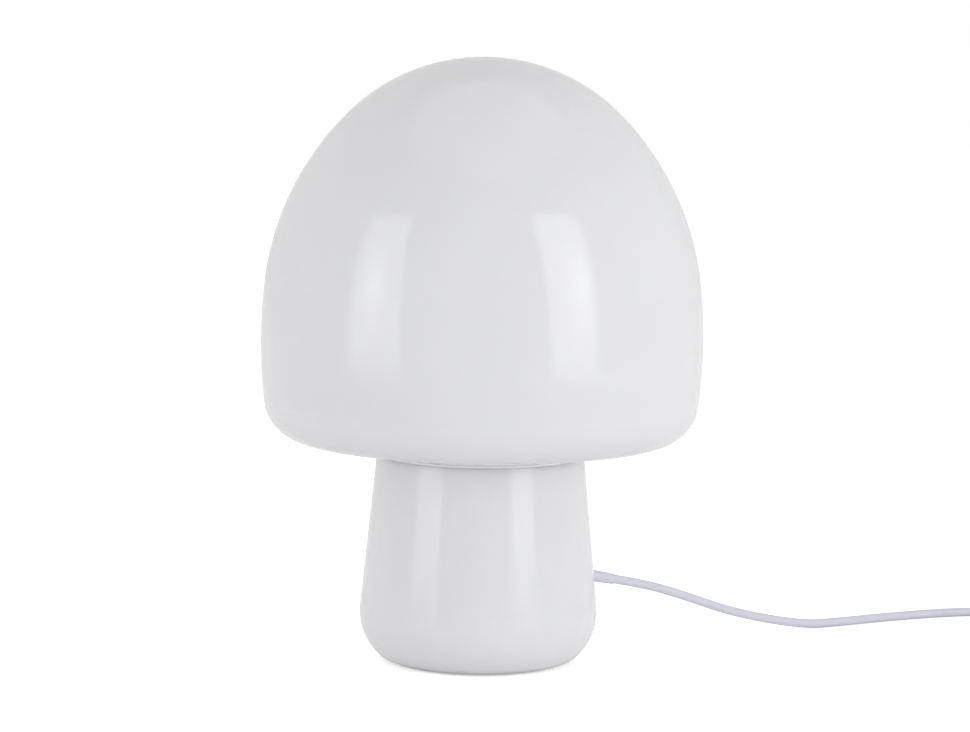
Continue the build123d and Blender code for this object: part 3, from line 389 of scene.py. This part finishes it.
def worked_out(tree, operation, *values):
    """Sum or product of sockets and plain numbers."""
    maths = tree.nodes.new("ShaderNodeMath")
    maths.operation = operation
    for socket, value in zip(maths.inputs, values):
        if isinstance(value, float):
            socket.default_value = value
        else:
            tree.links.new(value, socket)
    return maths


def colour_between(tree, shader, fac, dark, light):
    ramp = tree.nodes.new("ShaderNodeValToRGB")
    for stop, position, colour in zip(ramp.color_ramp.elements, COLOUR_CHANGES, (dark, light)):
        stop.position = position
        stop.color = (*colour, 1.0)
    tree.links.new(fac, ramp.inputs["Fac"])
    tree.links.new(ramp.outputs["Color"], shader.inputs["Base Color"])


def roughness_between(tree, shader, fac, rough):
    ranged = spread(tree, fac, (0.0, 1.0), rough)
    tree.links.new(ranged.outputs["Result"], shader.inputs["Roughness"])


def raised(tree, shader, height, depth, strength=1.0):
    """Bump of a depth in metres from a height texture."""
    bump = tree.nodes.new("ShaderNodeBump")
    bump.inputs["Strength"].default_value = strength
    bump.inputs["Distance"].default_value = depth
    tree.links.new(height, bump.inputs["Height"])
    tree.links.new(bump.outputs["Normal"], shader.inputs["Normal"])


# ---------------------------------------------------------------- finishes
def moulded(name, dark, light, patches, rough, grain, depth, metallic=0.0):
    """Plastic, rubber, paint or metal with uneven colour, uneven gloss and a surface grain.

    patches and grain count per metre, rough is the least and the most roughness, and depth is
    the depth of the grain in metres.
    """
    material, tree, shader, place = new_material(name)
    shader.inputs["Metallic"].default_value = metallic
    clouds = noise(tree, place, patches)
    colour_between(tree, shader, clouds, dark, light)
    roughness_between(tree, shader, clouds, rough)
    raised(tree, shader, noise(tree, place, grain, detail=2.0), depth)
    return material


def rolled_metal(name, dark, light, rough):
    """Bare metal with faint rolling marks."""
    return moulded(
        name, dark, light, patches=400.0, rough=rough, grain=2200.0, depth=0.00001, metallic=1.0
    )


def threaded(name, dark, light, pitch, rough, depth):
    """Metal with a screw thread rolled into it, one ridge for each pitch along Z, in metres."""
    material, tree, shader, place = new_material(name)
    shader.inputs["Metallic"].default_value = 1.0
    clouds = noise(tree, place, scale=400.0)
    colour_between(tree, shader, clouds, dark, light)
    roughness_between(tree, shader, clouds, rough)
    ridges = tree.nodes.new("ShaderNodeTexWave")
    ridges.bands_direction = "Z"
    # At a scale of 1 there is a ridge every pi / 10 metres
    ridges.inputs["Scale"].default_value = math.pi / 10 / pitch
    tree.links.new(place.outputs["Object"], ridges.inputs["Vector"])
    raised(tree, shader, ridges.outputs["Fac"], depth)
    return material


def blown_opal_glass():
    """Dense white glass: glossy, with faint clouds and the slow waves of a blown surface."""
    material, tree, shader, place = new_material("blown_opal_glass")
    clouds = noise(tree, place, scale=9.0, detail=2.0)
    sheen = noise(tree, place, scale=30.0)
    waves = noise(tree, place, scale=14.0, detail=1.0)
    colour_between(
        tree, shader, clouds, dark=(0.825, 0.813, 0.828), light=(0.84, 0.829, 0.843)
    )
    roughness_between(tree, shader, sheen, rough=(0.08, 0.12))
    raised(tree, shader, waves, depth=0.0004, strength=0.5)
    shader.inputs["IOR"].default_value = 1.5
    shader.inputs["Subsurface Weight"].default_value = 0.8
    shader.inputs["Subsurface Radius"].default_value = (1.0, 0.95, 0.9)
    shader.inputs["Subsurface Scale"].default_value = 0.01
    return material


finishes = {
    "opal_glass": blown_opal_glass(),
    "soft_seat": moulded(
        "milky_silicone",
        dark=(0.86, 0.855, 0.865),
        light=(0.9, 0.895, 0.9),
        patches=90.0,
        rough=(0.45, 0.6),
        grain=1800.0,
        depth=0.00003,
    ),
    "white_metal": moulded(
        "white_powder_coat",
        dark=(0.77, 0.77, 0.77),
        light=(0.82, 0.82, 0.82),
        patches=60.0,
        rough=(0.35, 0.5),
        grain=1500.0,
        depth=0.00006,
    ),
    "steel": threaded(
        "threaded_steel",
        dark=(0.5, 0.5, 0.51),
        light=(0.64, 0.64, 0.64),
        pitch=0.001,
        rough=(0.25, 0.42),
        depth=0.0003,
    ),
    "holder_plastic": moulded(
        "glossy_white_holder",
        dark=(0.78, 0.78, 0.77),
        light=(0.8, 0.8, 0.79),
        patches=80.0,
        rough=(0.2, 0.32),
        grain=900.0,
        depth=0.00002,
    ),
    "insulator": moulded(
        "holder_ceramic",
        dark=(0.7, 0.69, 0.66),
        light=(0.78, 0.77, 0.74),
        patches=200.0,
        rough=(0.4, 0.6),
        grain=1600.0,
        depth=0.00005,
    ),
    "black_insulator": moulded(
        "black_glass_insulator",
        dark=(0.02, 0.02, 0.02),
        light=(0.04, 0.04, 0.045),
        patches=150.0,
        rough=(0.12, 0.25),
        grain=600.0,
        depth=0.00004,
    ),
    "brass": rolled_metal(
        "rolled_brass", dark=(0.7, 0.5, 0.22), light=(0.82, 0.64, 0.34), rough=(0.22, 0.38)
    ),
    "nickel": rolled_metal(
        "nickel_plate", dark=(0.62, 0.61, 0.58), light=(0.75, 0.74, 0.71), rough=(0.15, 0.3)
    ),
    "bulb_diffuser": moulded(
        "frosted_bulb_globe",
        dark=(0.85, 0.85, 0.83),
        light=(0.9, 0.9, 0.88),
        patches=50.0,
        rough=(0.35, 0.45),
        grain=2500.0,
        depth=0.00002,
    ),
    "bulb_housing": moulded(
        "bulb_body_plastic",
        dark=(0.78, 0.78, 0.78),
        light=(0.83, 0.83, 0.83),
        patches=60.0,
        rough=(0.25, 0.35),
        grain=700.0,
        depth=0.00002,
    ),
    "circuit_board": moulded(
        "white_circuit_board",
        dark=(0.72, 0.72, 0.7),
        light=(0.82, 0.82, 0.8),
        patches=300.0,
        rough=(0.4, 0.5),
        grain=1200.0,
        depth=0.00003,
    ),
    "cord_sheath": moulded(
        "grey_cord_sheath",
        dark=(0.62, 0.615, 0.71),
        light=(0.65, 0.645, 0.74),
        patches=110.0,
        rough=(0.35, 0.5),
        grain=900.0,
        depth=0.00005,
    ),
    "switch_plastic": moulded(
        "pale_switch_plastic",
        dark=(0.72, 0.72, 0.75),
        light=(0.77, 0.77, 0.79),
        patches=120.0,
        rough=(0.3, 0.42),
        grain=1400.0,
        depth=0.00004,
    ),
    "live_insulation": moulded(
        "brown_insulation",
        dark=(0.22, 0.09, 0.035),
        light=(0.3, 0.13, 0.06),
        patches=300.0,
        rough=(0.35, 0.5),
        grain=1500.0,
        depth=0.00003,
    ),
    "neutral_insulation": moulded(
        "blue_insulation",
        dark=(0.035, 0.12, 0.42),
        light=(0.06, 0.18, 0.52),
        patches=300.0,
        rough=(0.35, 0.5),
        grain=1500.0,
        depth=0.00003,
    ),
}

for row in frame["record"]["subparts"]:
    surface = nodes[row["node"]].data.materials
    for index in range(len(surface)):
        surface[index] = finishes[row["material_slot"]]
for piece, slot in new_pieces:
    piece.data.materials.append(finishes[slot])


# ---------------------------------------------------------------- helpers for the stage
def seen_directly(tree):
    """1 for rays from the camera, a reflection or clear glass, and 0 for scattered light."""
    path = tree.nodes.new("ShaderNodeLightPath")
    first = worked_out(
        tree, "ADD", path.outputs["Is Camera Ray"], path.outputs["Is Glossy Ray"]
    )
    both = worked_out(tree, "ADD", first.outputs[0], path.outputs["Is Transmission Ray"])
    both.use_clamp = True
    return both.outputs[0]


def glowing_material(name):
    """Material with nothing in it yet but its output and a white glow."""
    material = bpy.data.materials.new(name)
    material.use_nodes = True
    tree = material.node_tree
    tree.nodes.clear()
    output = tree.nodes.new("ShaderNodeOutputMaterial")
    glow = tree.nodes.new("ShaderNodeEmission")
    return material, tree, output, glow


def glow_over(tree, output, under, glow):
    """Sends a shader with the glow added to it to the output."""
    together = tree.nodes.new("ShaderNodeAddShader")
    tree.links.new(under.outputs[0], together.inputs[0])
    tree.links.new(glow.outputs[0], together.inputs[1])
    tree.links.new(together.outputs[0], output.inputs["Surface"])


def show_only_in_gloss(panel, material):
    """Makes a panel seen in reflections alone and lighting nothing."""
    material.cycles.emission_sampling = "NONE"
    panel.data.materials.append(material)
    panel.visible_camera = False
    panel.visible_diffuse = False
    panel.visible_transmission = False
    panel.visible_shadow = False


# ---------------------------------------------------------------- floor
FLOOR_SIZE = 14.0
FLOOR_COLOUR = (0.9, 0.9, 0.9, 1.0)
FLOOR_LIFT = 0.12  # glow where the floor is seen directly or reflected
FLOOR_TO_WHITE = 0.35  # glow added for the camera alone, so that the floor meets the background


def white_tabletop():
    """Matt white floor that keeps the lamp's shadow and meets the white background."""
    material, tree, output, glow = glowing_material("white_tabletop")
    matt = tree.nodes.new("ShaderNodeBsdfDiffuse")
    matt.inputs["Color"].default_value = FLOOR_COLOUR
    lift = worked_out(tree, "MULTIPLY", seen_directly(tree), FLOOR_LIFT)
    path = tree.nodes.new("ShaderNodeLightPath")
    to_white = worked_out(
        tree, "MULTIPLY_ADD", path.outputs["Is Camera Ray"], FLOOR_TO_WHITE, lift.outputs[0]
    )
    tree.links.new(to_white.outputs[0], glow.inputs["Strength"])
    glow_over(tree, output, matt, glow)
    return material


deselect_all()
bpy.ops.mesh.primitive_plane_add(size=FLOOR_SIZE, location=(0.0, 0.0, 0.0))
floor = bpy.context.object
floor.name = "tabletop"
floor.data.materials.append(white_tabletop())

# ---------------------------------------------------------------- world
SKY_RISES = (0.1, 1.0)  # from just over the horizon to straight up
SKY_LEVELS = (1.09, 0.65)  # its light there
SKY_SEEN = 1.0  # its level where it is seen directly or reflected

world = bpy.data.worlds.new("white_tent")
bpy.context.scene.world = world
world.use_nodes = True
sky = world.node_tree
background = sky.nodes["Background"]
background.inputs["Color"].default_value = (1.0, 1.0, 1.0, 1.0)
sky_place = sky.nodes.new("ShaderNodeTexCoord")
sky_parts = sky.nodes.new("ShaderNodeSeparateXYZ")
sky.links.new(sky_place.outputs["Generated"], sky_parts.inputs["Vector"])
overhead = spread(sky, sky_parts.outputs["Z"], SKY_RISES, SKY_LEVELS)
level = sky.nodes.new("ShaderNodeMix")
level.data_type = "FLOAT"
sky.links.new(seen_directly(sky), level.inputs["Factor"])
sky.links.new(overhead.outputs["Result"], level.inputs["A"])
level.inputs["B"].default_value = SKY_SEEN
sky.links.new(level.outputs["Result"], background.inputs["Strength"])

# ---------------------------------------------------------------- softboxes
SOFTBOX_DISTANCE = 1.1
SIDE_FADES = (0.5, 0.3)  # from the outer edge inwards, in widths from the middle
FOOT_FADES = (-0.52, -0.4)  # from the bottom upwards, in heights from the middle
HOT_SHRINK = (2.6, 3.0)  # the hot middle reaches the panel's width and height divided by these


def softbox(name, azimuth, half_width, height, inner_side, shape, hot_place, levels):
    """Upright panel that shows only as a reflection, with a hot middle and a soft outer edge.

    The panel's own X and Y run from -0.5 to 0.5. shape gives X of its inner edge at the bottom
    and at the top, then Y of its outer top corner; levels are the plain and the hot brightness.
    """
    turn = math.radians(azimuth)
    deselect_all()
    bpy.ops.mesh.primitive_plane_add(size=1.0, location=(0.0, 0.0, 0.0))
    panel = bpy.context.object
    panel.name = name
    inner_bottom, inner_top, outer_top = shape
    for corner in panel.data.vertices:
        if corner.co.x * inner_side > 0:
            corner.co.x = inner_side * (inner_top if corner.co.y > 0 else inner_bottom)
        elif corner.co.y > 0:
            corner.co.y = outer_top
    across = Vector((math.cos(turn), math.sin(turn), 0.0))
    facing = Vector((math.sin(turn), -math.cos(turn), 0.0))
    middle = facing * SOFTBOX_DISTANCE + Vector((0.0, 0.0, height / 2))
    rows = (across * 2 * half_width, Vector((0.0, 0.0, height)), -facing)
    panel.matrix_world = Matrix.Translation(middle) @ Matrix(rows).transposed().to_4x4()

    material, tree, output, glow = glowing_material(name + "_light")
    clear = tree.nodes.new("ShaderNodeBsdfTransparent")
    place = tree.nodes.new("ShaderNodeTexCoord")
    parts = tree.nodes.new("ShaderNodeSeparateXYZ")
    tree.links.new(place.outputs["Object"], parts.inputs["Vector"])
    about_hot = tree.nodes.new("ShaderNodeMapping")
    about_hot.inputs["Scale"].default_value = (*HOT_SHRINK, 1.0)
    about_hot.inputs["Location"].default_value = (
        -HOT_SHRINK[0] * hot_place[0],
        -HOT_SHRINK[1] * hot_place[1],
        0.0,
    )
    tree.links.new(place.outputs["Object"], about_hot.inputs["Vector"])
    ball = tree.nodes.new("ShaderNodeTexGradient")
    ball.gradient_type = "QUADRATIC_SPHERE"
    tree.links.new(about_hot.outputs["Vector"], ball.inputs["Vector"])
    brightness = spread(tree, ball.outputs["Fac"], (0.0, 1.0), levels).outputs["Result"]
    outer_fades = [-inner_side * width for width in SIDE_FADES]
    for axis, ends in (("X", outer_fades), ("Y", FOOT_FADES)):
        fade = spread(tree, parts.outputs[axis], ends, (0.0, 1.0))
        fade.interpolation_type = "SMOOTHSTEP"
        faded = worked_out(tree, "MULTIPLY", brightness, fade.outputs["Result"])
        brightness = faded.outputs[0]
    tree.links.new(brightness, glow.inputs["Strength"])
    glow_over(tree, output, clear, glow)
    show_only_in_gloss(panel, material)


softbox(
    "left_softbox",
    azimuth=-54.5,
    half_width=0.32,
    height=1.05,
    inner_side=1,
    shape=(0.486, 0.30, 0.38),
    hot_place=(-0.05, -0.1),
    levels=(1.7, 3.9),
)
softbox(
    "right_softbox",
    azimuth=45.0,
    half_width=0.305,
    height=1.2,
    inner_side=-1,
    shape=(0.36, 0.5, 0.325),
    hot_place=(0.15, -0.13),
    levels=(1.9, 3.9),
)

# ---------------------------------------------------------------- grey tent
TENT_RADIUS = 3.0
TENT_SIDES = 72
TENT_RIM = 0.5  # lower rim of the cloth behind the lamp; elsewhere a skirt reaches the floor
TENT_TOP = 5.0
TENT_MIDDLE = (TENT_RIM + TENT_TOP) / 2
TENT_OPENING = 0.5  # half its width
TENT_LEVELS = (0.78, 0.56)  # at the floor and at the top


def grey_tent():
    """Pale grey cloth round the lamp, seen only in its gloss, open low down behind it.

    It keeps the edges of the white glass from running into the white background.
    """
    deselect_all()
    bpy.ops.mesh.primitive_cylinder_add(
        vertices=TENT_SIDES,
        radius=TENT_RADIUS,
        depth=TENT_TOP - TENT_RIM,
        end_fill_type="NOTHING",
        location=(0.0, 0.0, TENT_MIDDLE),
    )
    tent = bpy.context.object
    tent.name = "grey_tent"
    bpy.ops.object.mode_set(mode="EDIT")
    bpy.ops.mesh.select_mode(type="EDGE")
    bpy.ops.mesh.select_all(action="DESELECT")
    bpy.ops.object.mode_set(mode="OBJECT")
    for edge in tent.data.edges:
        ends = [tent.data.vertices[index].co for index in edge.vertices]
        middle = (ends[0] + ends[1]) / 2
        on_rim = max(end.z for end in ends) < 0
        in_opening = middle.y > 0 and abs(middle.x) < TENT_OPENING
        edge.select = on_rim and not in_opening
    bpy.ops.object.mode_set(mode="EDIT")
    bpy.ops.mesh.extrude_region_move(TRANSFORM_OT_translate={"value": (0.0, 0.0, -TENT_RIM)})
    bpy.ops.mesh.select_mode(type="VERT")
    bpy.ops.object.mode_set(mode="OBJECT")

    material, tree, output, glow = glowing_material("grey_cloth")
    place = tree.nodes.new("ShaderNodeTexCoord")
    parts = tree.nodes.new("ShaderNodeSeparateXYZ")
    tree.links.new(place.outputs["Object"], parts.inputs["Vector"])
    floor_to_top = (-TENT_MIDDLE, TENT_TOP - TENT_MIDDLE)
    darker_up = spread(tree, parts.outputs["Z"], floor_to_top, TENT_LEVELS)
    tree.links.new(darker_up.outputs["Result"], glow.inputs["Strength"])
    tree.links.new(glow.outputs[0], output.inputs["Surface"])
    show_only_in_gloss(tent, material)


grey_tent()

# ---------------------------------------------------------------- lamps of the stage
LAMPS_AIM = (0.0, 0.0, 0.1)


def area_lamp(name, place, size, power):
    """Large soft lamp that lights without showing in the gloss."""
    data = bpy.data.lights.new(name, "AREA")
    data.size = size
    data.energy = power
    lamp = bpy.data.objects.new(name, data)
    bpy.context.scene.collection.objects.link(lamp)
    lamp.location = place
    lamp.rotation_euler = (Vector(LAMPS_AIM) - Vector(place)).to_track_quat("-Z", "Y").to_euler()
    lamp.visible_glossy = False
    lamp.visible_camera = False


area_lamp("left_lamp", place=(-0.9, -0.9, 0.2), size=0.6, power=1.6)
area_lamp("right_lamp", place=(1.1, -0.85, 0.25), size=0.7, power=4.7)

# ---------------------------------------------------------------- end
bpy.context.view_layer.update()
